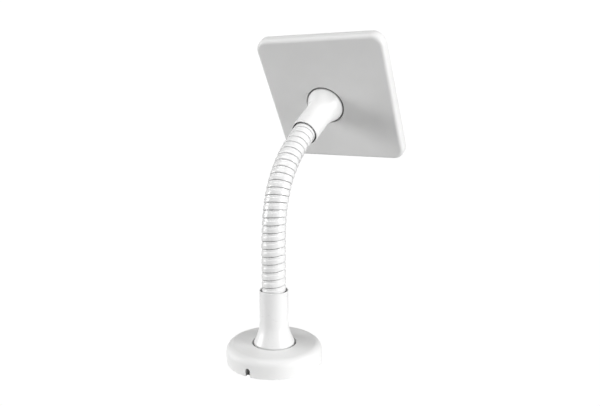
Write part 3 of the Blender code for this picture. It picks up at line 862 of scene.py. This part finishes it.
def add_floor():
    """A floor that is plain white to the camera and, to all other rays, darker further out."""
    bm = bmesh.new()
    bmesh.ops.create_circle(bm, cap_ends=True, segments=64, radius=6.0)
    mesh = bpy.data.meshes.new("floor")
    bm.to_mesh(mesh)
    bm.free()
    floor = bpy.data.objects.new("floor", mesh)
    bpy.context.scene.collection.objects.link(floor)
    paint = Paint("pale_floor", 0.9)
    distance = paint.nodes.new("ShaderNodeVectorMath")
    distance.operation = "LENGTH"
    paint.link(paint.place, distance.inputs[0])
    pale = paint.ramp(distance.outputs["Value"], 0.15, 0.50, (0.88, 0.88, 0.88), (0.30, 0.30, 0.30))
    paint.link(pale, paint.shader.inputs["Base Color"])
    paint.set("Specular IOR Level", 0.0)
    glow = paint.nodes.new("ShaderNodeEmission")
    glow.inputs["Color"].default_value = (1.0, 1.0, 1.0, 1.0)
    glow.inputs["Strength"].default_value = FLOOR_SEEN
    mix = paint.nodes.new("ShaderNodeMixShader")
    paint.link(paint.nodes.new("ShaderNodeLightPath").outputs["Is Camera Ray"], mix.inputs["Fac"])
    paint.link(paint.shader.outputs["BSDF"], mix.inputs[1])
    paint.link(glow.outputs["Emission"], mix.inputs[2])
    paint.link(mix.outputs["Shader"], paint.nodes["Material Output"].inputs["Surface"])
    mesh.materials.append(paint.material)


def add_world():
    world = bpy.data.worlds.new("studio")
    bpy.context.scene.world = world
    world.use_nodes = True
    nodes, links = world.node_tree.nodes, world.node_tree.links
    nodes.clear()
    soft, white = nodes.new("ShaderNodeBackground"), nodes.new("ShaderNodeBackground")
    soft.inputs["Color"].default_value = white.inputs["Color"].default_value = (1.0, 1.0, 1.0, 1.0)
    soft.inputs["Strength"].default_value = WORLD_LIGHT
    white.inputs["Strength"].default_value = WORLD_SEEN
    mix = nodes.new("ShaderNodeMixShader")
    links.new(nodes.new("ShaderNodeLightPath").outputs["Is Camera Ray"], mix.inputs["Fac"])
    links.new(soft.outputs[0], mix.inputs[1])
    links.new(white.outputs[0], mix.inputs[2])
    links.new(mix.outputs[0], nodes.new("ShaderNodeOutputWorld").inputs["Surface"])


def add_camera():
    data = bpy.data.cameras.new("camera")
    data.lens = 36.0
    data.sensor_width = 36.0
    data.clip_start = 0.01
    data.clip_end = 50.0
    camera = bpy.data.objects.new("camera", data)
    camera.location = CAMERA_PLACE
    camera.rotation_euler = CAMERA_AIM.to_track_quat("-Z", "Y").to_euler()
    bpy.context.scene.collection.objects.link(camera)
    bpy.context.scene.camera = camera


def add_surroundings():
    add_camera()
    add_world()
    add_floor()
    for name, azimuth, elevation, size, power in SOFTBOXES:
        add_softbox(name, azimuth, elevation, size, power)
    bpy.context.scene.view_settings.view_transform = "Standard"


# ---------------------------------------------------------------- the whole stand


def repaint(materials):
    """Gives each CAD node that stays visible its procedural material in place of the plain one."""
    by_slot = {part["node"]: part["material_slot"] for part in frame["record"]["subparts"]}
    for name, node in frame["nodes"].items():
        material = materials[by_slot[name]]
        for slot in node.material_slots:
            slot.material = material


def main():
    neck = Neck()
    mouth = neck.place(neck.length)
    lower_face = Matrix.Translation((0.0, 0.0, BASE_HEIGHT))
    upper_face = mouth @ Matrix.Translation((0.0, 0.0, SOCKET_LENGTH)) @ Matrix.Rotation(math.pi, 4, "X")
    white, socket, hose = shell_plastic(), socket_plastic(), hose_coating()
    rubber, washer_shade_grey = foot_rubber(), dark_fibre()
    glass = head_glass(upper_face, DISPLAY_HALF_WIDTH)
    materials = {
        "white_shell": white,
        "white_socket": socket,
        "white_hose": hose,
        "weight_iron": cast_iron(),
        "bright_steel": machined("bright_screw_steel", (0.56, 0.56, 0.57), (0.64, 0.64, 0.65), 0.24, 0.38),
        "zinc_plate": machined("zinc_plated_steel", (0.50, 0.51, 0.53), (0.60, 0.61, 0.63), 0.30, 0.46),
        "nylon": natural_nylon(),
        # The washers' dark grey is painted shade in the gap round each socket's foot.
        "dark_fibre": washer_shade_grey,
        "foot_rubber": rubber,
        "black_foam": foam_tape(),
        "cover_glass": glass,
        "display_screen": display_panel(),
        "circuit_board": circuit_laminate(),
        "chip_black": chip_epoxy(),
        "ribbon_film": polyimide(),
    }
    repaint(materials)
    make_base_shell(white)
    make_grip_pad(rubber)
    make_socket("lower", "lower_arm", lower_face, socket)
    make_socket("upper", "upper_arm", upper_face, socket)
    # The washers' dark grey stands for the shade in each gap ring.
    make_washer("lower", "base", lower_face, washer_shade_grey)
    make_washer("upper", "head", upper_face, washer_shade_grey)
    # The hose's seams take a dark grey of painted shade.
    make_hose(neck, hose, painted_seam_shade())
    make_rear_housing(upper_face, white)
    make_bezel_and_glass(upper_face, white, glass)
    add_surroundings()


main()
